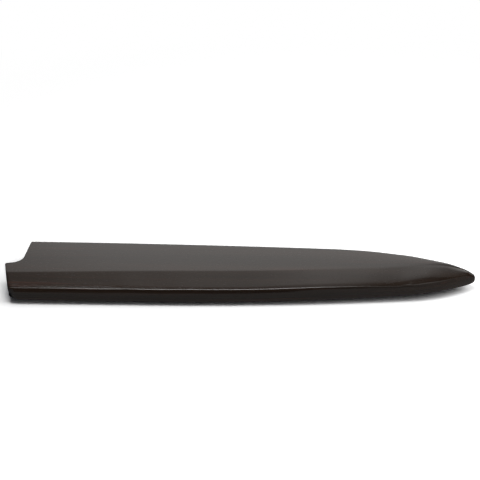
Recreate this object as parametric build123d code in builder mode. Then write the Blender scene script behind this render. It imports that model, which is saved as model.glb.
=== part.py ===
"""Wooden sheath (saya) for a 240 mm slicing knife, in millimetres.

The sheath lies on one broad side. +X runs from the mouth to the nose, +Y from the spine side to the cutting-edge
side, and +Z up. The origin is under the middle of the sheath. Two outer boards, the cheeks, are glued to a middle
layer of two rails and a tip block, which leaves a slot for the blade.
"""

import os

from build123d import *

os.makedirs("parts", exist_ok=True)

# Layers. The cheeks are mirror images about the middle plane.
thickness = 14.2
slot_gap = 4.4
cheek_thickness = (thickness - slot_gap) / 2
mid_z = thickness / 2
slot_floor = mid_z - slot_gap / 2
slot_roof = mid_z + slot_gap / 2

# Plan of the sheath: the spine side and the edge side run from the mouth to a rounded nose.
spine_corner = (-128.2, -25.0)
spine_bow_start = (-50.0, -25.0)
spine_bow_end = (95.0, -17.5)
nose_point = (134.33, -2.4)
belly_start = (50.0, 20.3)
belly_end = (121.0, 5.3)
heel_corner = (-121.6, 25.0)
edge_bow_radius = 4400.0
nose_radius = 2.6

# Mouth: the heel is cut back on the edge side, which leaves a tongue beside the spine.
notch_corner = (-123.4, -1.1)
tongue_corner = (-132.71, -3.5)
notch_radius = 5.5
tongue_radius = 1.2
mouth_corner_radius = 0.8

# Outside of a cheek, as heights above the middle plane: the flat face, and the arris between bevel and wall.
flat_h = thickness / 2
arris_h = 3.9
edge_bevel = 4.6
spine_bevel_mouth = 11.9
spine_bevel_full = 15.2

# Places along the sheath where its cross-section is drawn: ahead of the mouth, where the spine bevel is full,
# where the belly begins, and where the bevels begin to drop towards the nose.
mouth_x = -140.0
bevel_full_x = -22.0
belly_x = 45.0
drop_x = 90.0

# The nose has no flat face: its two bevels meet in a narrow fold. Each place along it has an x, the y of the
# fold, and the heights of the fold and of the arris. The last place is just ahead of the tip.
fold_width = 0.6
nose_folds = ((115.0, 0.8, 7.1, 3.2), (124.0, -0.6, 5.1, 3.0), (129.5, -2.2, 3.3, 2.3))
ahead_x = 133.6
ahead_fold = (-2.9, 0.5)
ahead_feet = (-6.0, 0.8)

# Slot in plan: the room for the blade, open at the mouth.
rail_width = 5.0
slot_mouth_x = -145.0
slot_bow_end = (93.0, -12.2)
slot_point = (124.0, -1.4)
slot_belly_start = (50.0, 15.2)
slot_bow_radius = 4400.0
slot_point_radius = 1.5

# The middle layer is cut here into a spine rail, an edge rail and a tip block.
rail_end_x = 104.0
rail_split_y = -2.5
layer_reach = 160.0

# Magnets, each in a blind pocket of the lower cheek, under a plug that is flush with the slot's floor.
magnet_diameter = 8.0
magnet_thickness = 2.0
plug_thickness = 1.0
magnet_places = [(-98.0, 0.0), (-54.0, -0.5), (-10.0, -1.0), (34.0, -1.5), (78.0, -2.0)]

# Each side of the plan as a chain of a straight and long arcs that run on smoothly.
with BuildLine() as spine_side:
    Line(spine_corner, spine_bow_start)
    spine_bow = TangentArc(spine_bow_start, spine_bow_end, tangent=(1, 0))
    TangentArc(spine_bow_end, nose_point, tangent=spine_bow % 1)

with BuildLine() as edge_side:
    edge_bow = RadiusArc(heel_corner, belly_start, edge_bow_radius)
    belly = TangentArc(belly_start, belly_end, tangent=edge_bow % 1)
    TangentArc(belly_end, nose_point, tangent=belly % 1)

with BuildSketch() as plan:
    with BuildLine():
        add(spine_side.line)
        add(edge_side.line)
        Polyline(heel_corner, notch_corner, tongue_corner, spine_corner)
    make_face()
    for corner, radius in (
        (nose_point, nose_radius),
        (notch_corner, notch_radius),
        (tongue_corner, tongue_radius),
        (spine_corner, mouth_corner_radius),
        (heel_corner, mouth_corner_radius),
    ):
        fillet(plan.vertices().sort_by_distance(corner)[0], radius)

# The slot's spine side is parallel to the sheath's spine, and its edge side to the sheath's edge.
slot_spine_y = spine_corner[1] + rail_width
slot_edge_y = heel_corner[1] - rail_width

with BuildSketch() as slot:
    with BuildLine():
        Line((slot_mouth_x, slot_spine_y), (spine_bow_start[0], slot_spine_y))
        slot_bow = TangentArc((spine_bow_start[0], slot_spine_y), slot_bow_end, tangent=(1, 0))
        TangentArc(slot_bow_end, slot_point, tangent=slot_bow % 1)
        slot_edge = RadiusArc((slot_mouth_x, slot_edge_y), slot_belly_start, slot_bow_radius)
        TangentArc(slot_belly_start, slot_point, tangent=slot_edge % 1)
        Line((slot_mouth_x, slot_edge_y), (slot_mouth_x, slot_spine_y))
    make_face()
    fillet(slot.vertices().sort_by_distance(slot_point)[0], slot_point_radius)


def wall_y(side, x):
    """Y where a side of the plan crosses the plane at x. Before the mouth the side runs straight on."""
    start_x = side.line.vertices().sort_by(Axis.X)[0].X
    return side.line.intersect(Plane.YZ.offset(max(x, start_x + 1)))[0].Y


def spine_bevel(x):
    """Width of the spine bevel: it widens steadily from the mouth until it is full."""
    share = min(1, (x - spine_corner[0]) / (bevel_full_x - spine_corner[0]))
    return spine_bevel_mouth + share * (spine_bevel_full - spine_bevel_mouth)


def cross_section(x, feet, ridges, top):
    """The outside of the sheath at x: six corners, its bevels run on until they meet on the middle plane."""
    upper = [(feet[0], 0), (ridges[0], top), (ridges[1], top), (feet[1], 0)]
    lower = [(ridges[1], -top), (ridges[0], -top)]
    with BuildSketch(Plane.YZ.offset(x)) as section:
        with BuildLine():
            Polyline([(y, mid_z + h) for y, h in upper + lower], close=True)
        make_face()
    return section.sketch


def run_on(walls, ridges, top, wall_h):
    """Y of the two bevels where they reach the middle plane: each falls from its ridge past the arris."""
    return [ridge + (wall - ridge) * top / (top - wall_h) for wall, ridge in zip(walls, ridges)]


def body_section(x):
    """Cross-section where the sheath has a flat face between its two bevels."""
    walls = wall_y(spine_side, x), wall_y(edge_side, x)
    ridges = walls[0] + spine_bevel(x), walls[1] - edge_bevel
    return cross_section(x, run_on(walls, ridges, flat_h, arris_h), ridges, flat_h)


def nose_section(x, fold_y, fold_h, wall_h):
    """Cross-section where the two bevels meet in a fold."""
    walls = wall_y(spine_side, x), wall_y(edge_side, x)
    ridges = fold_y, fold_y + fold_width
    return cross_section(x, run_on(walls, ridges, fold_h, wall_h), ridges, fold_h)


def middle_layer(low, high):
    """The part of the middle layer that lies in plan between two corners of a rectangle."""
    with BuildSketch(Plane.XY.offset(slot_floor)) as layer:
        add(plan.sketch)
        add(slot.sketch, mode=Mode.SUBTRACT)
        with Locations(((low[0] + high[0]) / 2, (low[1] + high[1]) / 2)):
            Rectangle(high[0] - low[0], high[1] - low[1], mode=Mode.INTERSECT)
    return layer.sketch


def write(piece, name):
    """Label a piece and write it to its own file."""
    piece.part.label = name
    export_step(piece.part, f"parts/{name}.step")


outside = [body_section(x) for x in (mouth_x, bevel_full_x, belly_x, drop_x)]
outside += [nose_section(*fold) for fold in nose_folds]
outside += [cross_section(ahead_x, ahead_feet, (ahead_fold[0], ahead_fold[0] + fold_width), ahead_fold[1])]

with BuildPart() as upper_cheek:
    with BuildSketch(Plane.XY.offset(slot_roof)):
        add(plan.sketch)
    extrude(amount=cheek_thickness)
    loft(outside, ruled=True, mode=Mode.INTERSECT)
write(upper_cheek, "upper_cheek")

with BuildPart() as lower_cheek:
    with BuildSketch(Plane.XY):
        add(plan.sketch)
    extrude(amount=cheek_thickness)
    loft(outside, ruled=True, mode=Mode.INTERSECT)
    with BuildSketch(Plane.XY.offset(slot_floor)):
        with Locations(*magnet_places):
            Circle(magnet_diameter / 2)
    extrude(amount=-(magnet_thickness + plug_thickness), mode=Mode.SUBTRACT)
write(lower_cheek, "lower_cheek")

spine_strip = middle_layer((-layer_reach, -layer_reach), (rail_end_x, rail_split_y))
edge_strip = middle_layer((-layer_reach, rail_split_y), (rail_end_x, layer_reach))
nose_strip = middle_layer((rail_end_x, -layer_reach), (layer_reach, layer_reach))

with BuildPart() as spine_rail:
    extrude(spine_strip, amount=slot_gap)
write(spine_rail, "spine_rail")

with BuildPart() as edge_rail:
    extrude(edge_strip, amount=slot_gap)
write(edge_rail, "edge_rail")

with BuildPart() as tip_block:
    extrude(nose_strip, amount=slot_gap)
    loft(outside, ruled=True, mode=Mode.INTERSECT)
write(tip_block, "tip_block")

for number, place in enumerate(magnet_places, start=1):
    with BuildPart() as magnet:
        with BuildSketch(Plane.XY.offset(slot_floor - plug_thickness - magnet_thickness)):
            with Locations(place):
                Circle(magnet_diameter / 2)
        extrude(amount=magnet_thickness)
    write(magnet, f"magnet_{number}")

    with BuildPart() as plug:
        with BuildSketch(Plane.XY.offset(slot_floor - plug_thickness)):
            with Locations(place):
                Circle(magnet_diameter / 2)
        extrude(amount=plug_thickness)
    write(plug, f"magnet_plug_{number}")
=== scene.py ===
import math

import bmesh
import bpy
import numpy as np
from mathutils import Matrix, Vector


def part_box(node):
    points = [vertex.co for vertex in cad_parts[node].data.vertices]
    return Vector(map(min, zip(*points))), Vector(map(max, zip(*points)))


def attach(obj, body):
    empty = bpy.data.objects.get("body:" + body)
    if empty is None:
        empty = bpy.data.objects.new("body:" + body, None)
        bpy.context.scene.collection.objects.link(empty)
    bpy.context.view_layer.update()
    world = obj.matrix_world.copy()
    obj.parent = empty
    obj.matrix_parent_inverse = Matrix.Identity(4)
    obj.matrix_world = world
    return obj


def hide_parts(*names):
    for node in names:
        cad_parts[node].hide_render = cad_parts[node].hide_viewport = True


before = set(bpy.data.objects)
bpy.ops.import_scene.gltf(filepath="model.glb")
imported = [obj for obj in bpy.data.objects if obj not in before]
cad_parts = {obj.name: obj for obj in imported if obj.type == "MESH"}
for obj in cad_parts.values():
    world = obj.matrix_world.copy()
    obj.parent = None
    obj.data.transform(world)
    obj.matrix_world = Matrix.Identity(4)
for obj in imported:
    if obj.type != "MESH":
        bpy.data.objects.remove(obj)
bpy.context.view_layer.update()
scene = bpy.context.scene
mm = 0.001
tiny = 1e-9                                      # keeps what something is divided by from being 0


def addObject(name, data):
    added = bpy.data.objects.new(name, data)
    scene.collection.objects.link(added)
    return added


def aimAt(thing, place, aim):
    # Puts a camera or a lamp in its place, in metres, and turns it towards the aim.
    thing.location = place
    thing.rotation_mode = "QUATERNION"
    thing.rotation_quaternion = (Vector(aim) - Vector(place)).to_track_quat("-Z", "Y")


cameraSettings = {
    "place": (13.7007, -633.1641, 388.2620),     # mm
    "aim": (-0.9462, 38.0935, 7.0),              # mm, middle of the picture
    "lens": 97.7, "sensor": 36.0,                # mm
    "clip": (0.01, 50),                          # m
}


def setUpCamera(settings):
    data = bpy.data.cameras.new("camera")
    data.lens, data.sensor_width = settings["lens"], settings["sensor"]
    data.clip_start, data.clip_end = settings["clip"]
    scene.camera = addObject("camera", data)
    aimAt(scene.camera, Vector(settings["place"]) * mm, Vector(settings["aim"]) * mm)


setUpCamera(cameraSettings)
print("camera placed")


def smoothThrough(places, values):
    # A curve through the given values that never overshoots: cubic pieces whose slope at each place is the
    # harmonic mean of the slopes on both sides, or 0 where these differ in sign. It starts level.
    px, py = np.array(places, float), np.array(values, float)
    run, rise = np.diff(px), np.diff(py)
    steep = rise / run
    slope = np.zeros_like(px)
    product = steep[:-1] * steep[1:]
    safe = np.where(product > 0, steep[:-1] + steep[1:], 1)
    slope[1:-1] = np.where(product > 0, 2 * product / safe, 0)
    slope[-1] = steep[-1]

    def curve(x):
        i = np.clip(np.searchsorted(px, x) - 1, 0, len(run) - 1)
        t = np.clip((x - px[i]) / run[i], 0, 1)
        return (py[i] * (1 + 2 * t) * (1 - t) ** 2 + py[i + 1] * t * t * (3 - 2 * t)
                + run[i] * t * (1 - t) * (slope[i] * (1 - t) - slope[i + 1] * t))

    return curve


def easeBetween(x, low, high):
    # 0 below low, 1 above high, and a smooth s-curve between.
    t = np.clip((x - low) / (high - low), 0, 1)
    return t * t * (3 - 2 * t)


def tangentArc(start, heading, end):
    # Centre and radius of the arc that leaves start along heading and reaches end. A positive radius turns left.
    chord = np.subtract(end, start)
    normal = np.array((-heading[1], heading[0])) / math.hypot(*heading)
    radius = chord @ chord / (2 * (chord @ normal))
    return np.array(start) + radius * normal, radius


def rightTurnArc(start, end, radius):
    # Centre and radius of a right turn from start to end: the centre lies square off the middle of the chord.
    half = np.subtract(end, start) / 2
    across = np.array((half[1], -half[0])) / np.hypot(*half)
    return np.array(start) + half + across * math.sqrt(radius ** 2 - half @ half), -radius


def headingAt(centre, radius, point):
    # Direction of travel on such an arc at a point of it.
    out = np.subtract(point, centre) / radius
    return np.array((-out[1], out[0]))


def arcHeight(centre, radius, x):
    # y on the arc above x: the lower half of a left turn, the upper half of a right turn.
    return centre[1] - np.sign(radius) * np.sqrt(np.maximum(radius ** 2 - (x - centre[0]) ** 2, 0))


sheath = {
    "middle": 7.1,                               # height of the middle plane above the table
    "seam": 2.2,                                 # glue seams, above and below the middle plane
    "seamStep": 0.03,                            # the middle layer has shrunk by this much
    "spineCorner": (-128.2, -25.0), "spineBowStart": (-50.0, -25.0), "spineBowEnd": (95.0, -17.5),
    "heelCorner": (-121.6, 25.0), "bellyStart": (50.0, 20.3), "bellyEnd": (121.0, 5.3),
    "edgeBowRadius": 4400.0, "nosePoint": (134.33, -2.4), "noseRadius": 2.6,
    "notchCorner": (-123.4, -1.1), "notchRadius": 7.0,
    "tongueCorner": (-132.71, -3.5), "tongueRadius": 1.2,
    "tipRound": 131.6,                           # the tip closes from here
}


def planSides():
    # The spine side and the edge side as y over x: a straight and long arcs, closed by a small round nose.
    bowStart, bowEnd, nose = (np.array(sheath[k]) for k in ("spineBowStart", "spineBowEnd", "nosePoint"))
    heel, bellyStart, bellyEnd = (np.array(sheath[k]) for k in ("heelCorner", "bellyStart", "bellyEnd"))
    noseR = sheath["noseRadius"]
    spineBow = tangentArc(bowStart, (1, 0), bowEnd)
    spineNose = tangentArc(bowEnd, headingAt(*spineBow, bowEnd), nose)
    edgeBow = rightTurnArc(heel, bellyStart, sheath["edgeBowRadius"])
    belly = tangentArc(bellyStart, headingAt(*edgeBow, bellyStart), bellyEnd)
    edgeNose = tangentArc(bellyEnd, headingAt(*belly, bellyEnd), nose)
    # the small circle that touches both arcs from inside
    toSpine, toEdge = abs(spineNose[1]) - noseR, abs(edgeNose[1]) - noseR
    span = edgeNose[0] - spineNose[0]
    apart = np.hypot(*span)
    forward = (apart ** 2 + toSpine ** 2 - toEdge ** 2) / (2 * apart)
    aside = math.sqrt(toSpine ** 2 - forward ** 2)
    unit = span / apart
    choices = [spineNose[0] + forward * unit + turn * aside * np.array((-unit[1], unit[0])) for turn in (1, -1)]
    tipCircle = min(choices, key=lambda c: np.hypot(*(c - nose)))
    touchSpine = spineNose[0] + (tipCircle - spineNose[0]) * abs(spineNose[1]) / toSpine
    touchEdge = edgeNose[0] + (tipCircle - edgeNose[0]) * abs(edgeNose[1]) / toEdge

    def roundTip(x, side):
        return tipCircle[1] + side * np.sqrt(np.maximum(noseR ** 2 - (x - tipCircle[0]) ** 2, 0))

    def spineY(x):
        return np.select(
            [x < bowStart[0], x < bowEnd[0], x < touchSpine[0]],
            [bowStart[1] + 0 * x, arcHeight(*spineBow, x), arcHeight(*spineNose, x)], roundTip(x, -1))

    def edgeY(x):
        return np.select(
            [x < bellyStart[0], x < bellyEnd[0], x < touchEdge[0]],
            [arcHeight(*edgeBow, np.maximum(x, heel[0])), arcHeight(*belly, x), arcHeight(*edgeNose, x)],
            roundTip(x, 1))

    return spineY, edgeY, tipCircle[0] + noseR


spineY, edgeY, tipX = planSides()
print("tip at x =", round(tipX, 3), "mm")

# What changes along x, in millimetres: the places, and the values there.
along = {
    # height of the spine-side arris over the middle plane, as the hand left it on each side
    "upperArris": smoothThrough(
        [-140, -121, -98, -76, -62, -47, -28, 0, 34, 45, 67, 89, 95, 101, 107, 113, 120, 125, 127.3, 129.3,
         130.4, 131.6, 132.5],
        [2.95, 2.95, 3.05, 2.9, 3.08, 2.92, 3.08, 3.0, 3.55, 3.85, 3.75, 3.25, 3.6, 3.85, 4.0, 4.0, 4.05, 4.0,
         3.8, 2.9, 2.3, 1.7, 1.2]),
    "lowerArris": smoothThrough(
        [-140, -119, -102, -79, -51, -22, 6, 34, 62, 78, 89, 98, 107, 115, 120.5, 126, 129.3, 130.4, 131.6,
         132.5],
        [4.0, 4.05, 4.3, 4.45, 4.55, 4.65, 4.5, 4.25, 3.75, 3.3, 2.8, 2.45, 2.35, 2.15, 2.15, 2.4, 2.35, 2.15,
         1.8, 1.3]),
    # the same on the far side
    "farArris": smoothThrough(
        [-140, 60, 92, 108, 114, 119.6, 122.3, 125, 127.5, 129.3, 130.4, 131.6, 132.5],
        [3.9, 3.9, 4.2, 4.3, 4.25, 3.95, 3.55, 3.1, 2.75, 2.35, 1.95, 1.5, 1.1]),
    # height of the flat face, and of the fold that it narrows into
    "top": smoothThrough(
        [-140, 110, 116, 121, 124, 127.3, 129.3, 130.4, 131.6, 132.5],
        [7.1, 7.1, 6.85, 6.0, 5.3, 4.35, 3.1, 2.5, 1.9, 1.4]),
    # width of the spine bevel, and y of the two ridges on the nose
    "spineBevel": smoothThrough([-140, -128.2, -22, 90], [11.6, 11.9, 15.2, 15.2]),
    "nearFold": smoothThrough(
        [60, 90, 104, 112, 118, 124, 129.5, 133],
        [-6.0, -2.7, -1.0, -0.4, -0.5, -1.2, -2.3, -2.9]),
    "farFold": smoothThrough(
        [60, 91, 97, 102.4, 108, 113, 118, 124, 129.5, 133],
        [16.0, 10.8, 9.4, 7.5, 5.5, 3.6, 2.0, 0.2, -1.4, -2.4]),
    # worn strip above the arris, and how much steeper than the bevel it is
    "wornWidth": smoothThrough(
        [-140, -100, -70, -40, 0, 30, 50, 80, 91, 98, 105, 111, 120, 133],
        [2.9, 2.8, 2.8, 2.2, 2.0, 2.5, 2.7, 2.8, 3.6, 4.1, 4.3, 3.2, 1.5, 1.0]),
    "wornDrop": smoothThrough([-140, -120, -22, 45, 89, 133], [0.07, 0.09, 0.13, 0.12, 0.18, 0.2]),
    # how far the arris is rubbed round, below it and above it
    "softBelow": smoothThrough([-140, -20, 25, 50, 133], [3.0, 2.6, 2.4, 1.2, 0.8]),
    "softAbove": smoothThrough([-140, -20, 45, 133], [0.6, 0.75, 0.9, 0.6]),
    # hand planing leaves the bevel slightly domed
    "bevelDome": smoothThrough([-140, 20, 45, 75, 105, 118, 133], [0.0, 0.0, 0.08, 0.15, 0.12, 0.3, 0.4]),
    # how far the spine wall leans in
    "upperLean": smoothThrough([-140, 25, 50, 85, 108, 133], [0.8, 0.75, 0.4, 0.35, 1.0, 1.0]),
    "lowerLean": smoothThrough([-140, 133], [0.35, 0.3]),
}

wear = {
    "fullWidth": 12, "leastSize": 0.02,          # where the nose is narrower than this it is worn less, in proportion
    "faceDome": 0.2,
    "folding": (62, 90),                         # the flat face turns into the fold of the nose here
    "pinchFrom": 126, "nearPinch": 0.42, "farPinch": 0.6,       # shares of the width where the ridges meet the tip
    "farBevel": 3.6, "farLean": 0.3,             # the far wall leans in by this share of the spine wall's lean
    # the spine wall is upright to this far under its arris, and at least to this share of the arris's height
    "leanFrom": 3.3, "leanLeast": 0.3,
    "wallCut": 1.2, "ridge": 0.5, "farRidge": 0.35, "farArris": 0.7,       # how far each corner is rubbed round
    "wornBefore": 0.2, "wornAfter": 0.3, "wornFold": 0.5,       # the same for the worn strip, as shares of its width
    "noseSoft": 3.5, "softening": (98, 124),     # the ridges are rubbed more on the nose
    "longestCut": 0.45,                          # of the run that a rounding lies on
}

# y of the flat face's points at the mouth, as runs of from, to and count. They are closest at the round notch.
faceRuns = [(-12.4, -4.8, 6), (-4.6, -1.0, 31), (-0.7, 5.4, 20), (6.6, 20.4, 10)]
faceStart, faceEnd = -12.6, 20.9
faceShare = (np.concatenate([np.linspace(*run) for run in faceRuns]) - faceStart) / (faceEnd - faceStart)

sectionPlan = [                                  # stretches of the half section and how many points each one gets
    ("wall", 5), ("wallBend", 6), ("upperWall", 3), ("arris", 11), ("worn", 3), ("wornBend", 6), ("bevel", 12),
    ("ridge", 6), ("face", faceShare), ("farRidge", 6), ("farBevel", 6), ("farArris", 9), ("farWall", 6),
]


def sectionStretches():
    # Name, columns and shares of the way for each stretch. Only the last one includes its own end.
    stretches, first = [], 0
    for name, count in sectionPlan:
        if name == "farWall":
            share = np.linspace(0, 1, count)
        else:
            share = np.arange(count) / count if isinstance(count, int) else count
        stretches.append((name, slice(first, first + len(share)), share))
        first += len(share)
    return stretches, first


stretches, roundCount = sectionStretches()


def tipClose(x):
    # 1 along the sheath, and a quarter of an ellipse down to 0 at the very tip.
    t = np.clip((x - sheath["tipRound"]) / (tipX - sheath["tipRound"]), 0, 1)
    return np.sqrt(1 - t * t)


def halfSection(x, side):
    # Upper or lower half of the cross-section at x, as y and as distance from the middle plane: a chain of straight
    # runs through eight corners, each corner cut off and bridged by a quadratic curve, and a dome on the two faces.
    half = "upper" if side > 0 else "lower"
    close = tipClose(x)
    spine, edge = spineY(x), edgeY(x)
    size = np.clip((edge - spine) / wear["fullWidth"], wear["leastSize"], 1) * close
    dome = wear["faceDome"] * size
    top, arris, far = (along[name](x) * close for name in ("top", half + "Arris", "farArris"))
    top = top - dome
    blend, pinch = easeBetween(x, *wear["folding"]), easeBetween(x, wear["pinchFrom"], tipX)
    nearRidge = (spine + along["spineBevel"](x)) * (1 - blend) + along["nearFold"](x) * blend
    farRidge = (edge - wear["farBevel"]) * (1 - blend) + along["farFold"](x) * blend
    nearRidge = nearRidge * (1 - pinch) + (spine + wear["nearPinch"] * (edge - spine)) * pinch
    farRidge = farRidge * (1 - pinch) + (spine + wear["farPinch"] * (edge - spine)) * pinch
    lean, strip = along[half + "Lean"](x) * size, along["wornWidth"](x) * size
    slope = np.hypot(nearRidge - spine - lean, top - arris) + tiny
    corners = [
        (spine, 0 * x),
        (spine, np.maximum(arris - wear["leanFrom"] * size, wear["leanLeast"] * arris)),
        (spine + lean, arris),
        (spine + lean + strip * (nearRidge - spine - lean) / slope,
         arris + strip * (top - arris) / slope + along["wornDrop"](x) * strip),
        (nearRidge, top), (farRidge, top), (edge - wear["farLean"] * lean, far), (edge, 0 * x),
    ]
    soft = wear["noseSoft"] * easeBetween(x, *wear["softening"])
    cuts = [                                     # before and after each of the six corners in between
        (wear["wallCut"],) * 2,
        (along["softBelow"](x), along["softAbove"](x)),
        (wear["wornBefore"] * strip, (wear["wornAfter"] + wear["wornFold"] * blend) * strip),
        (wear["ridge"] + soft,) * 2, (wear["farRidge"] + soft,) * 2, (wear["farArris"],) * 2,
    ]
    runs = []
    for (ay, ah), (by, bh) in zip(corners[:-1], corners[1:]):
        length = np.hypot(by - ay, bh - ah) + tiny
        runs.append((length, (by - ay) / length, (bh - ah) / length))
    ends = [corners[0]]
    for k, (before, after) in enumerate(cuts):
        cy, ch = corners[k + 1]
        before = np.minimum(before, wear["longestCut"] * runs[k][0])
        after = np.minimum(after, wear["longestCut"] * runs[k + 1][0])
        ends += [(cy - runs[k][1] * before, ch - runs[k][2] * before),
                 (cy + runs[k + 1][1] * after, ch + runs[k + 1][2] * after)]
    ends.append(corners[-1])
    y, h = np.empty_like(x), np.empty_like(x)
    for k, (_, columns, s) in enumerate(stretches):
        part = (slice(None), columns)
        (ay, ah), (by, bh) = ends[k], ends[k + 1]
        if k % 2:                                # a bend round a corner
            cy, ch = corners[k // 2 + 1]
            y[part] = (1 - s) ** 2 * ay[part] + 2 * s * (1 - s) * cy[part] + s * s * by[part]
            h[part] = (1 - s) ** 2 * ah[part] + 2 * s * (1 - s) * ch[part] + s * s * bh[part]
        else:
            y[part] = ay[part] * (1 - s) + by[part] * s
            h[part] = ah[part] * (1 - s) + bh[part] * s
    bevelStart, bevelRise = spine + lean + strip, along["bevelDome"](x) * size
    for low, high, rise in ((nearRidge, farRidge, dome), (bevelStart, nearRidge, bevelRise)):
        share = np.clip((y - low) / np.maximum(high - low, tiny), 0, 1)
        h = h + rise * 4 * share * (1 - share)
    return y, h


def cornerCircle(a, corner, b, radius):
    # Centre and touching points of a fillet in a corner: the centre lies on the line that halves the corner.
    toA, toB = np.subtract(a, corner), np.subtract(b, corner)
    toA, toB = toA / np.hypot(*toA), toB / np.hypot(*toB)
    half = math.acos(toA @ toB) / 2
    middle = (toA + toB) / np.hypot(*(toA + toB))
    run = radius / math.tan(half)
    return corner + middle * radius / math.sin(half), corner + toA * run, corner + toB * run


def mouthOutline():
    # x of the mouth over y: three straight runs with a round tongue corner and a round notch.
    corners = (sheath[k] for k in ("spineCorner", "tongueCorner", "notchCorner", "heelCorner"))
    spine, tongue, notch, heel = (np.array(corner) for corner in corners)
    tongueMid, tongueIn, tongueOut = cornerCircle(spine, tongue, notch, sheath["tongueRadius"])
    notchMid, notchIn, notchOut = cornerCircle(tongue, notch, heel, sheath["notchRadius"])

    def onLine(a, b, y):
        return a[0] + (b[0] - a[0]) * (y - a[1]) / (b[1] - a[1])

    def onCircle(middle, radius, y, side):
        return middle[0] + side * np.sqrt(np.maximum(radius ** 2 - (y - middle[1]) ** 2, 0))

    def mouthX(y):
        return np.select(
            [y < tongueIn[1], y < tongueOut[1], y < notchIn[1], y < notchOut[1]],
            [onLine(spine, tongue, y), onCircle(tongueMid, sheath["tongueRadius"], y, -1),
             onLine(tongue, notch, y), onCircle(notchMid, sheath["notchRadius"], y, 1)],
            onLine(notch, heel, y))

    return mouthX


mouthX = mouthOutline()

mouthEase = {
    # radius of the rubbed edge round the mouth: on the flat face, the spine bevel, its arris, the spine wall of the
    # upper board and of the lower one, and the far bevel. The lower board has the bevel's radius everywhere else.
    "flat": 0.3, "bevel": 0.9, "arris": 1.4, "wall": 4.2, "below": 4.8, "far": 0.8,
    # how far from the middle of the mouth each radius comes in
    "atBevel": (12.0, 14.5), "atArris": (18.0, 24.0), "atWall": (24.0, 24.6), "atBelow": (19.0, 24.0),
    "atFar": (20.0, 24.0),
    "wallTop": 4.2, "wallFade": 1.5,             # the spine wall's radius comes in under this height, over this depth
    "steps": 8,                                  # rows round the edge
    "outOfSquare": 1.1,
}


def mouthSlope(height):
    # The mouth is cut a little out of square: how far it is set back at a height over the middle plane.
    return mouthEase["outOfSquare"] * (sheath["middle"] - height) / (2 * sheath["middle"])


def slantAt(y):
    # How much longer a step along x is than the same step straight in from the mouth.
    step = 0.01
    return np.sqrt(1 + ((mouthX(y + step) - mouthX(y - step)) / (2 * step)) ** 2)


def easeRadius(y, h, side):
    # Radius of the rubbed edge round the mouth: small on the face, larger on the bevel and largest at the spine.
    flat, bevel, arris, wall, below, far = (mouthEase[k] for k in ("flat", "bevel", "arris", "wall", "below", "far"))
    if side < 0:
        return bevel + (below - bevel) * easeBetween(-y, *mouthEase["atBelow"])
    radius = flat + (bevel - flat) * easeBetween(-y, *mouthEase["atBevel"])
    radius = radius + (arris - bevel) * easeBetween(-y, *mouthEase["atArris"])
    under = easeBetween(mouthEase["wallTop"] - h, 0, mouthEase["wallFade"])
    radius = radius + (wall - arris) * under * easeBetween(-y, *mouthEase["atWall"])
    return radius + (far - flat) * easeBetween(y, *mouthEase["atFar"])


stations = {                                     # x of the rows from the mouth to the tip
    "firstGuess": -127.0, "guesses": 6,          # the mouth's row is found by trial
    "mouthEnd": -108.0, "mouthCount": 16,        # from the slanted mouth to the first straight row
    "body": np.concatenate([np.arange(-106.4, 96, 1.6), np.arange(96, 124, 0.7), np.arange(124, 129.2, 0.35)]),
    "noseStart": 129.2, "noseCount": 15,         # closer and closer towards the tip
}


def sheathSurface(side):
    # Whole upper or lower outside of the sheath as a grid: rows from the mouth to the tip, columns round the
    # section. The first rows go round the mouth's rubbed edge, a quarter circle from the end face to the outside.
    x = np.full((1, roundCount), stations["firstGuess"])
    for _ in range(stations["guesses"]):
        y, h = halfSection(x, side)
        x = mouthX(y)
    y, h = halfSection(x, side)
    angle = np.linspace(0, math.pi / 2, mouthEase["steps"])[:, None]
    radius = easeRadius(y, h, side)
    inFrom = radius * (1 - np.cos(angle))
    sink = radius * (1 - np.sin(angle))
    edgeX = mouthX(y) + inFrom * slantAt(y)
    ey, eh = halfSection(edgeX, side)
    ty, th = np.gradient(ey, axis=1), np.gradient(eh, axis=1)
    length = np.maximum(np.hypot(ty, th), tiny)
    ey, eh = ey + sink * th / length, np.maximum(eh - sink * ty / length, 0)
    edgeX = mouthX(ey) + inFrom * slantAt(ey) + mouthSlope(side * eh)
    share = np.linspace(0, 1, stations["mouthCount"] + 1)[1:, None]
    mouthRows = edgeX[-1:] * (1 - share) + stations["mouthEnd"] * share
    turn = np.linspace(0, math.pi / 2, stations["noseCount"])[:, None]
    nose = stations["noseStart"] + (tipX - stations["noseStart"]) * np.sin(turn)
    bodyRows = np.repeat(np.concatenate([stations["body"][:, None], nose]), roundCount, axis=1)
    restX = np.concatenate([mouthRows, bodyRows])
    ry, rh = halfSection(restX, side)
    return np.concatenate([edgeX, restX]), np.concatenate([ey, ry]), np.concatenate([eh, rh])


surfaces = {side: sheathSurface(side) for side in (1, -1)}
print("outside worked out:", surfaces[1][0].shape, "points on each side")


def crossings(grids, h, level, inner, outer):
    # Where each row passes the level: straight on from its outer column to its inner one.
    rows = np.arange(len(h))
    rise = h[rows, inner] - h[rows, outer]
    t = (level - h[rows, outer]) / np.where(np.abs(rise) > tiny, rise, 1)
    return [(grid[rows, outer] + t * (grid[rows, inner] - grid[rows, outer]))[:, None] for grid in grids]


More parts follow.
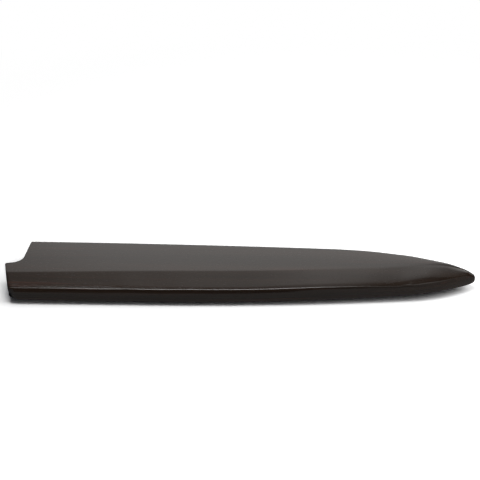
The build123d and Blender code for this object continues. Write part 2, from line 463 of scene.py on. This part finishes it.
def clipAtSeam(points, level, keep):
    # Points of each row on the wrong side of the level slide along the row to where it crosses the level. Above
    # keeps what is higher. Below keeps the walls, and lays the rest of the row level between the two crossings.
    x, y, h = points
    high = h >= level
    inUse = high.any(axis=1)
    columns, last = np.arange(h.shape[1])[None, :], h.shape[1] - 1
    up = np.clip(high.argmax(axis=1), 1, None)
    down = np.clip(last - high[:, ::-1].argmax(axis=1), None, last - 1)
    clipped = [x, y, np.minimum(h, level) if keep == "below" else h]
    for inner, outer, side in ((up, up - 1, -1), (down, down + 1, 1)):
        where = columns * side > inner[:, None] * side if keep == "above" else columns == inner[:, None]
        where = where & inUse[:, None]
        crossX, crossY = crossings((x, y), h, level, inner, outer)
        clipped = [np.where(where, new, old) for new, old in zip((crossX, crossY, level), clipped)]
    return clipped, inUse


def wallUpTo(points, columns, level):
    # The wall's part of each row, with the points above the level slid down the wall to where it crosses it.
    inward = 1 if columns.start == 0 else -1
    x, y, h = (grid[:, columns][:, ::inward] for grid in points)
    high = h >= level
    first = np.clip(high.argmax(axis=1), 1, None)
    beyond = (np.arange(h.shape[1])[None, :] >= first[:, None]) & high.any(axis=1)[:, None]
    crossX, crossY = crossings((x, y), h, level, first, first - 1)
    return [np.where(beyond, new, old) for new, old in ((crossX, x), (crossY, y), (level, h))]


meshSettings = {"merge": 2e-6, "shortest": 1e-6, "smoothAngle": 35}        # m, m, degrees


def gridFaces(rows, columns, first=0, flip=False):
    # The four-sided faces between the points of a grid, which are numbered row by row from the first.
    corner = first + np.arange(rows - 1)[:, None] * columns + np.arange(columns - 1)[None, :]
    quads = np.stack([corner, corner + columns, corner + columns + 1, corner + 1], axis=-1).reshape(-1, 4)
    return quads[:, ::-1] if flip else quads


def shadeByAngle(mesh):
    mesh.shade_smooth()
    mesh.set_sharp_from_angle(angle=math.radians(meshSettings["smoothAngle"]))


def makePiece(name, points, faces):
    # A closed mesh from points in millimetres. Coincident points are merged, which closes seams and poles.
    mesh = bpy.data.meshes.new(name)
    mesh.from_pydata((points * mm).tolist(), [], faces.tolist())
    tidy = bmesh.new()
    tidy.from_mesh(mesh)
    bmesh.ops.remove_doubles(tidy, verts=tidy.verts, dist=meshSettings["merge"])
    bmesh.ops.dissolve_degenerate(tidy, edges=tidy.edges, dist=meshSettings["shortest"])
    bmesh.ops.recalc_face_normals(tidy, faces=tidy.faces)
    tidy.to_mesh(mesh)
    tidy.free()
    shadeByAngle(mesh)
    return addObject(name, mesh)


def closedShell(name, outer, inner, closeSides):
    # Two grids of the same size, joined at their first and last rows, and at the sides where asked. Each is x, y
    # and z in millimetres.
    rows, columns = outer[0].shape
    count = rows * columns
    points = np.concatenate([np.stack(grid, axis=-1).reshape(-1, 3) for grid in (outer, inner)])
    faces = [gridFaces(rows, columns), gridFaces(rows, columns, count, True)]
    rims = [(np.arange(start, start + columns - 1), 1) for start in (0, (rows - 1) * columns)]
    if closeSides:
        rims += [(np.arange(start, count - columns, columns), columns) for start in (0, columns - 1)]
    for edge, step in rims:
        faces.append(np.stack([edge, edge + step, edge + step + count, edge + count], axis=-1))
    return makePiece(name, points, np.concatenate(faces))


def makeCutter(name, prisms):
    # Upright prisms in one mesh, each from an outline in plan, its lower z and its upper z, in metres: a ring of
    # walls and two caps.
    points, faces = [], []
    for outline, low, high in prisms:
        count = len(outline)
        edge = len(points) + np.arange(count)
        after = np.roll(edge, -1)
        for z in (low, high):
            points += np.column_stack([outline, np.full(count, z)]).tolist()
        faces += np.stack([edge, after, after + count, edge + count], axis=-1).tolist()
        faces += [edge[::-1].tolist(), (edge + count).tolist()]
    mesh = bpy.data.meshes.new(name)
    mesh.from_pydata(points, [], faces)
    return addObject(name, mesh)


def carve(piece, cutter):
    # Takes the cutter out of the piece, as the maker's router does.
    cut = piece.modifiers.new("carve", "BOOLEAN")
    cut.operation, cut.solver, cut.object = "DIFFERENCE", "EXACT", cutter
    bpy.context.view_layer.update()
    carved = bpy.data.meshes.new_from_object(piece.evaluated_get(bpy.context.evaluated_depsgraph_get()))
    piece.modifiers.clear()
    piece.data = carved
    shadeByAngle(carved)
    bpy.data.objects.remove(cutter)


bladeSlot = {                                    # the room for the blade
    "railWidth": 5.0, "bowStartX": -50.0, "bowEnd": (93.0, -12.2), "point": (124.0, -1.4),
    "edgeStart": (-145.0, 20.0), "bellyStart": (50.0, 15.2), "edgeBowRadius": 4400.0,
    "railEnd": 104.0,                            # the rails end and the tip block begins
    "roundFrom": 122.1,                          # the slot's point is a half circle ahead of this x
    "sidePoints": 60, "roundPoints": 15,
    "cutterReach": 3,                            # past the tip block, backwards, up and down
}


def slotSides():
    # The two sides of the slot as y over x: a straight and two arcs beside the spine, two arcs beside the edge.
    spineLine = sheath["spineCorner"][1] + bladeSlot["railWidth"]
    startX, bowEnd, point, belly = (bladeSlot[k] for k in ("bowStartX", "bowEnd", "point", "bellyStart"))
    bow = tangentArc((startX, spineLine), (1, 0), bowEnd)
    bowNose = tangentArc(bowEnd, headingAt(*bow, bowEnd), point)
    edge = rightTurnArc(bladeSlot["edgeStart"], belly, bladeSlot["edgeBowRadius"])
    edgeNose = tangentArc(belly, headingAt(*edge, belly), point)

    def nearY(x):
        return np.select([x < startX, x < bowEnd[0]], [spineLine + 0 * x, arcHeight(*bow, x)],
                         arcHeight(*bowNose, x))

    def farY(x):
        return np.where(x < belly[0], arcHeight(*edge, x), arcHeight(*edgeNose, x))

    return nearY, farY


slotNear, slotFar = slotSides()


def makeBoard(name, side):
    # A cheek: the outside of the sheath from the glue seam up, and its flat glued face straight below it.
    grids, inUse = clipAtSeam(surfaces[side], sheath["seam"], "above")
    last = int(np.nonzero(inUse)[0].max()) + 1
    x, y, h = (grid[:last] for grid in grids)
    level = np.full_like(h, sheath["middle"] + side * sheath["seam"])
    return closedShell(name, (x, y, sheath["middle"] + side * h), (x, y, level), False)


def rowAtRailEnd(side):
    # The row of the outside where the rails end.
    x = np.full((1, roundCount), bladeSlot["railEnd"])
    return x, *halfSection(x, side)


def makeStrip(name, side):
    # A rail: its outside is the sheath's wall between the glue seams, its inside is the wall of the slot.
    columnsOf = {stretch: columns for stretch, columns, _ in stretches}
    columns = slice(0, columnsOf["worn"].start) if side < 0 else slice(columnsOf["farArris"].start, roundCount)
    halves = []
    for half, surface in surfaces.items():
        body = surface[0][:, 0] < bladeSlot["railEnd"]
        full = [np.concatenate([grid[body], end]) for grid, end in zip(surface, rowAtRailEnd(half))]
        x, y, h = wallUpTo(full, columns, sheath["seam"])
        halves.append((x, y, half * h))
    x, y, h = (np.concatenate([below[:, :0:-1], above], axis=1) for above, below in zip(*halves))
    y = y - side * sheath["seamStep"]
    inside = slotNear if side < 0 else slotFar
    steps = mouthEase["steps"]
    inX = x.copy()
    inX[:steps] = mouthX(inside(inX[:steps])) + mouthSlope(h[:steps]) + x[:steps] - x[:1]
    z = sheath["middle"] + h
    return closedShell(name, (x, y, z), (inX, inside(inX), z), True)


def slotCutter():
    # The point of the slot as a prism, for the tip block: out along one side of it, round a half circle, and back
    # along the other.
    x = np.linspace(bladeSlot["railEnd"] - bladeSlot["cutterReach"], bladeSlot["roundFrom"], bladeSlot["sidePoints"])
    near, far = slotNear(x), slotFar(x)
    turn = np.linspace(-math.pi / 2, math.pi / 2, bladeSlot["roundPoints"])[1:-1]
    middleY, radius = (near[-1] + far[-1]) / 2, (far[-1] - near[-1]) / 2
    outline = np.concatenate([
        np.stack([x, near], -1),
        np.stack([x[-1] + radius * np.cos(turn), middleY + radius * np.sin(turn)], -1),
        np.stack([x, far], -1)[::-1]])
    low, high = ((sheath["middle"] + way * bladeSlot["cutterReach"]) * mm for way in (-1, 1))
    return makeCutter("slotPoint", [(outline * mm, low, high)])


def makeNoseBlock(name):
    # The tip block: the sheath's outside ahead of the rails, cut level at both seams.
    halves = []
    for side, surface in surfaces.items():
        ahead = surface[0][:, 0] > bladeSlot["railEnd"]
        full = [np.concatenate([start, grid[ahead]]) for grid, start in zip(surface, rowAtRailEnd(side))]
        (x, y, h), _ = clipAtSeam(full, sheath["seam"], "below")
        halves.append((x, y, sheath["middle"] + side * h))
    block = closedShell(name, *halves, False)
    carve(block, slotCutter())
    return block


magnets = {"numbers": range(1, 6), "sides": 64, "above": 0.001}           # the cutter reaches above the plug, in m


def magnetPockets():
    # Five round cutters in one mesh, each on the box of its magnet and its plug.
    turn = np.arange(magnets["sides"]) * 2 * math.pi / magnets["sides"]
    discs = []
    for number in magnets["numbers"]:
        low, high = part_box(f"magnet_{number}")
        middleX, middleY, radius = (low.x + high.x) / 2, (low.y + high.y) / 2, (high.x - low.x) / 2
        outline = np.column_stack([middleX + radius * np.cos(turn), middleY + radius * np.sin(turn)])
        discs.append((outline, low.z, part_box(f"magnet_plug_{number}")[1].z + magnets["above"]))
    return makeCutter("pockets", discs)


upperBoard = makeBoard("upper_board", 1)
lowerBoard = makeBoard("lower_board", -1)
carve(lowerBoard, magnetPockets())
spineStrip = makeStrip("spine_strip", -1)
edgeStrip = makeStrip("edge_strip", 1)
noseBlock = makeNoseBlock("nose_block")
woodenPieces = (upperBoard, lowerBoard, spineStrip, edgeStrip, noseBlock)
print("pieces made:", {piece.name: len(piece.data.polygons) for piece in woodenPieces})

for piece, node, finish in ((upperBoard, "upper_cheek", "ebony_face"), (lowerBoard, "lower_cheek", "ebony_face"),
                            (spineStrip, "spine_rail", "ebony_rail"), (edgeStrip, "edge_rail", "ebony_rail"),
                            (noseBlock, "tip_block", "ebony_rail")):
    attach(piece, "root")
    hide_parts(node)


class Wire:
    # A number that comes out of a node, so that shader maths reads as maths.
    def __init__(self, recipe, socket):
        self.recipe, self.socket = recipe, socket

    def combine(self, operation, first, second):
        return self.recipe.node("ShaderNodeMath", {"operation": operation}, {0: first, 1: second})

    def __add__(self, other): return self.combine("ADD", self, other)
    def __radd__(self, other): return self.combine("ADD", other, self)
    def __sub__(self, other): return self.combine("SUBTRACT", self, other)
    def __rsub__(self, other): return self.combine("SUBTRACT", other, self)
    def __mul__(self, other): return self.combine("MULTIPLY", self, other)
    def __rmul__(self, other): return self.combine("MULTIPLY", other, self)


class Recipe:
    # The node tree of one finish, of the table or of the light around.
    def __init__(self, owner):
        owner.use_nodes = True
        self.tree = owner.node_tree
        self.tree.nodes.clear()

    def node(self, kind, settings=None, inputs=None, output=0):
        # Settings come first, then the values or links of the sockets. A ramp's stops are a list of place and colour.
        made = self.tree.nodes.new(kind)
        for key, value in (settings or {}).items():
            if key == "stops":
                while len(made.color_ramp.elements) < len(value):
                    made.color_ramp.elements.new(0.5)
                for element, (place, colour) in zip(made.color_ramp.elements, value):
                    element.position, element.color = place, colour
            else:
                setattr(made, key, value)
        for key, value in (inputs or {}).items():
            if isinstance(value, Wire):
                self.tree.links.new(value.socket, made.inputs[key])
            else:
                made.inputs[key].default_value = value
        return Wire(self, made.outputs[output]) if made.outputs else None

    def parts(self, vector):
        # The x, y and z of a vector.
        apart = self.node("ShaderNodeSeparateXYZ", None, {0: vector}).socket.node
        return [Wire(self, socket) for socket in apart.outputs]

    def noise(self, scale, detail, rough=0.55, distortion=0.0, shift=(0, 0, 0)):
        # A noise on the piece's own coordinates, with as many ups and downs to the metre as the scale says.
        place = self.node("ShaderNodeTexCoord", output="Object")
        place = self.node("ShaderNodeMapping", None, {"Vector": place, "Scale": scale, "Location": shift})
        return self.node("ShaderNodeTexNoise", None, {
            "Vector": place, "Scale": 1.0, "Detail": detail, "Roughness": rough, "Distortion": distortion})

    def ranged(self, value, low, high, toLow=0.0, toHigh=1.0):
        return self.node("ShaderNodeMapRange", {"interpolation_type": "SMOOTHSTEP"},
                         {"Value": value, "From Min": low, "From Max": high, "To Min": toLow, "To Max": toHigh})

    def tint(self, factor, first, second):
        return self.node("ShaderNodeMix", {"data_type": "RGBA"}, {0: factor, 6: first, 7: second}, output=2)


def rgb(*parts):
    return (*parts, 1.0)


woodSettings = {
    "dark": rgb(0.0158, 0.0090, 0.0052),
    "light": rgb(0.0266, 0.0155, 0.0098),
    "red": rgb(0.0470, 0.0175, 0.0105),
    "pore": rgb(0.0050, 0.0038, 0.0030),
    # noises, drawn out along the grain by the first number of their scale
    "sway": {"scale": (11, 30, 30), "detail": 2.0},
    "bands": {"scale": (6, 130, 130), "detail": 3.0, "distortion": 0.4},
    "streaks": {"scale": (10, 420, 420), "detail": 3.0, "distortion": 0.3},
    "fibres": {"scale": (45, 2300, 2300), "detail": 4.0, "rough": 0.65},
    "pores": {"scale": (260, 5200, 5200), "detail": 1.0},
    "streakShift": 3,                            # so that the streaks don't follow the bands
    # from where to where each noise comes in, and how much it colours the wood
    "bandsIn": (0.32, 0.68), "fibresIn": (0.3, 0.7), "streaksIn": (0.52, 0.71), "swayIn": (0.38, 0.61),
    # the last pair says how far a face looks along -x before it takes the mouth end's dark colour, which is partly
    # end grain and partly painted shade
    "poresIn": (0.66, 0.74), "endGrainAndShadeIn": (-0.2, -0.6),
    "fibreColour": 0.35, "redColour": 0.65, "poreColour": 0.8, "endGrainAndShadeColour": 0.6,
    "roughness": 0.17, "fibreRough": 0.12, "bandRough": 0.08, "poreRough": 0.15, "cutEndRough": 0.35,
    "relief": 0.00010, "reliefStrength": 0.16, "fibreRelief": 0.5, "bandRelief": 0.2, "poreRelief": 0.8,
}


def ebony(name, shift, redness=1.0, sanded=0.0):
    # Dark wood with its grain along x: broad bands, red streaks, fine fibres and short open pores. Each is a
    # noise drawn out lengthwise, so the ends of the pieces show the same fibres cut across. The end faces at the
    # mouth are painted darker still, partly as end grain and partly as painted shade.
    material = bpy.data.materials.new(name)
    recipe, look = Recipe(material), woodSettings
    sway, bands, fibres, pores = (
        recipe.noise(**look[pattern], shift=shift) for pattern in ("sway", "bands", "fibres", "pores"))
    streaks = recipe.noise(**look["streaks"], shift=(shift[0] + look["streakShift"], *shift[1:]))
    red = recipe.ranged(streaks, *look["streaksIn"]) * recipe.ranged(sway, *look["swayIn"]) * redness
    pitted = recipe.ranged(pores, *look["poresIn"])
    colour = recipe.tint(recipe.ranged(bands, *look["bandsIn"]), look["dark"], look["light"])
    darker = recipe.ranged(fibres, *look["fibresIn"], 0.0, look["fibreColour"])
    colour = recipe.tint(darker, colour, look["dark"])
    colour = recipe.tint(red * look["redColour"], colour, look["red"])
    colour = recipe.tint(pitted * look["poreColour"], colour, look["pore"])
    # The faces that look along -x, the end faces at the mouth, are painted near black: partly end grain, partly
    # painted shade for the dark mouth end. The tip's end faces, which look along +x, are left out.
    facing = recipe.parts(recipe.node("ShaderNodeTexCoord", output="Normal"))[0]
    endGrainAndShade = recipe.ranged(facing, *look["endGrainAndShadeIn"])
    colour = recipe.tint(endGrainAndShade * look["endGrainAndShadeColour"], colour, look["pore"])
    roughness = (look["roughness"] + sanded + (fibres - 0.5) * look["fibreRough"] + (bands - 0.5) * look["bandRough"]
                 + pitted * look["poreRough"] + endGrainAndShade * look["cutEndRough"])
    height = fibres * look["fibreRelief"] + bands * look["bandRelief"] - pitted * look["poreRelief"]
    bumped = recipe.node("ShaderNodeBump", None, {
        "Strength": look["reliefStrength"], "Distance": look["relief"], "Height": height})
    shader = recipe.node("ShaderNodeBsdfPrincipled", None, {
        "Base Color": colour, "Roughness": roughness, "IOR": 1.5, "Normal": bumped})
    recipe.node("ShaderNodeOutputMaterial", None, {"Surface": shader})
    return material


nickelSettings = {
    "dull": rgb(0.60, 0.575, 0.53),
    "bright": rgb(0.68, 0.66, 0.62),
    "clouds": {"scale": (420, 420, 420), "detail": 3.0},
    "scratches": {"scale": (3800, 240, 900), "detail": 2.0},
    "roughness": 0.16, "cloudRough": 0.16, "scratchRough": 0.06,
    "relief": 0.00002, "reliefStrength": 0.1,
}


def plating(name):
    # Bright nickel plating with a few dull patches and faint scratches that run one way.
    material = bpy.data.materials.new(name)
    recipe, look = Recipe(material), nickelSettings
    clouds, scratches = (recipe.noise(**look[pattern]) for pattern in ("clouds", "scratches"))
    colour = recipe.tint(clouds, look["dull"], look["bright"])
    roughness = look["roughness"] + clouds * look["cloudRough"] + scratches * look["scratchRough"]
    bumped = recipe.node("ShaderNodeBump", None, {
        "Strength": look["reliefStrength"], "Distance": look["relief"], "Height": scratches})
    shader = recipe.node("ShaderNodeBsdfPrincipled", None, {
        "Base Color": colour, "Metallic": 1.0, "Roughness": roughness, "Normal": bumped})
    recipe.node("ShaderNodeOutputMaterial", None, {"Surface": shader})
    return material


# From which place in the wood each piece is cut, and how red it is: the wooden pieces in their order, then the plugs.
woodCuts = {
    "ebonyUpper": {"shift": (4.7, 1.3, 0.6)},
    "ebonyLower": {"shift": (7.3, 2.1, 5.5)},
    "ebonySpine": {"shift": (3.7, 9.4, 1.2), "redness": 0.8},
    "ebonyEdge": {"shift": (11.2, 4.8, 8.6), "redness": 0.8},
    "ebonyNose": {"shift": (5.9, 6.6, 3.3), "redness": 1.2},
    "ebonyPlug": {"shift": (2.2, 8.1, 4.4), "redness": 0.6, "sanded": 0.25},
}

finishes = {name: ebony(name, **cut) for name, cut in woodCuts.items()}
finishes["nickelPlating"] = plating("nickelPlating")
for piece, name in zip(woodenPieces, woodCuts):
    piece.data.materials.clear()
    piece.data.materials.append(finishes[name])
for number in magnets["numbers"]:
    for node, name in ((f"magnet_{number}", "nickelPlating"), (f"magnet_plug_{number}", "ebonyPlug")):
        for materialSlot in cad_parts[node].material_slots:
            materialSlot.material = finishes[name]
print("finishes made")

tableSettings = {
    "half": 6.0,                                 # m from the middle to each side
    "seen": 1.42, "bounce": 0.38,                # grey as the camera sees it, and as it lights the sheath
    "clear": (0.15, 0.4),                        # m from the middle, where it fades to plain white
}


def layTable(settings):
    # A flat square under the sheath. Its middle takes shadows, and the rest is plain white.
    size = settings["half"]
    mesh = bpy.data.meshes.new("table")
    mesh.from_pydata([(-size, -size, 0), (size, -size, 0), (size, size, 0), (-size, size, 0)], [], [(0, 1, 2, 3)])
    table = addObject("table", mesh)
    material = bpy.data.materials.new("tableTop")
    recipe = Recipe(material)
    place = recipe.node("ShaderNodeTexCoord", output="Object")
    away = recipe.node("ShaderNodeVectorMath", {"operation": "LENGTH"}, {0: place}, output="Value")
    clear = recipe.ranged(away, *settings["clear"])
    rays = recipe.node("ShaderNodeLightPath", output="Is Camera Ray")
    through = recipe.node("ShaderNodeLightPath", output="Is Transmission Ray")
    bounce = recipe.node("ShaderNodeBsdfDiffuse", None, {"Color": rgb(*[settings["bounce"]] * 3)})
    near = recipe.node("ShaderNodeBsdfDiffuse", None, {"Color": rgb(*[settings["seen"]] * 3)})
    white = recipe.node("ShaderNodeEmission", None, {"Color": rgb(1, 1, 1), "Strength": 1.0})
    seen = recipe.node("ShaderNodeMixShader", None, {0: clear, 1: near, 2: white})
    both = recipe.node("ShaderNodeMixShader", None, {0: rays + through, 1: bounce, 2: seen})
    recipe.node("ShaderNodeOutputMaterial", None, {"Surface": both})
    mesh.materials.append(material)


# A pair says from where to where something comes in, along east, north or up, each of which goes from -1 to 1.
# The wall is a list of up and how bright the wall is there.
roomSettings = {
    "colour": rgb(1.075, 1.073, 1.064), "strength": 1.11,
    "front": rgb(0.034, 0.036, 0.040),           # the dark side of the room
    "wall": [(0.0, 1.0), (0.42, 1.0), (0.5, 0.81), (0.58, 0.72), (0.8, 0.57), (0.866, 0.4), (0.9, 0.33), (1.0, 0.33)],
    "behind": (0.20, 0.36), "leftEnd": (-0.55, -0.32), "farRight": (0.25, 0.60),
    "across": (-0.30, 0.03), "acrossShare": (0.45, 1.58),       # the wall brightens from left to right
    "rightEnd": (0.04, 0.25), "rightAbove": (0.54, 0.68), "rightFall": 0.55,       # and fades high up at the right
    "nearSide": (-0.14, -0.36), "nearRight": (0.22, 0.42), "nearGlow": 0.28,
}


def lightRoom(settings):
    # The room as the sheath sees it: a pale wall behind, which fades upwards and at both ends, a dark front, and a
    # soft glow at the near right. The camera sees plain white.
    world = bpy.data.worlds.new("room")
    scene.world = world
    recipe = Recipe(world)
    east, north, up = recipe.parts(recipe.node("ShaderNodeTexCoord", output="Generated"))
    wall = recipe.node("ShaderNodeValToRGB", {"stops": [(z, rgb(v, v, v)) for z, v in settings["wall"]]}, {0: up})
    seen = recipe.ranged(north, *settings["behind"]) * recipe.ranged(east, *settings["leftEnd"])
    fall = recipe.ranged(east, *settings["rightEnd"]) * recipe.ranged(up, *settings["rightAbove"])
    seen = seen * (1 - fall * settings["rightFall"]) * (1 - recipe.ranged(east, *settings["farRight"]))
    seen = seen * recipe.ranged(east, *settings["across"], *settings["acrossShare"])
    glow = recipe.tint(wall * seen * settings["strength"], settings["front"], settings["colour"])
    near = recipe.ranged(north, *settings["nearSide"]) * recipe.ranged(east, *settings["nearRight"])
    glow = recipe.tint(near * settings["nearGlow"], glow, settings["colour"])
    camera = recipe.node("ShaderNodeLightPath", output="Is Camera Ray")
    shader = recipe.node("ShaderNodeBackground", None, {"Color": recipe.tint(camera, glow, rgb(1, 1, 1))})
    recipe.node("ShaderNodeOutputWorld", None, {"Surface": shader})


lampSettings = {                                 # W, m, and degrees of spread
    "softbox": {"power": 3.2, "size": (0.51, 0.235), "place": (-0.045, -0.097, 0.9), "aim": (0, 0, 0),
                "spread": 180.0, "mirrored": True},
    "fill": {"power": 9.0, "size": (1.0, 1.0), "place": (0.95, -0.05, 0.95), "aim": (0, 0, 0),
             "spread": 180.0, "mirrored": False},
    "kicker": {"power": 0.021, "size": (0.36, 0.30), "place": (0.36, -0.36, 0.46), "aim": (0.118, -0.02, 0),
               "spread": 40.0, "mirrored": True},
}


def hangLamp(name, settings):
    data = bpy.data.lights.new(name, "AREA")
    data.shape, data.energy = "RECTANGLE", settings["power"]
    data.size, data.size_y = settings["size"]
    data.spread = math.radians(settings["spread"])
    lamp = addObject(name, data)
    aimAt(lamp, settings["place"], settings["aim"])
    lamp.visible_glossy = settings["mirrored"]


layTable(tableSettings)
lightRoom(roomSettings)
for name, settings in lampSettings.items():
    hangLamp(name, settings)
scene.view_settings.view_transform = "Standard"
print("table and light set")
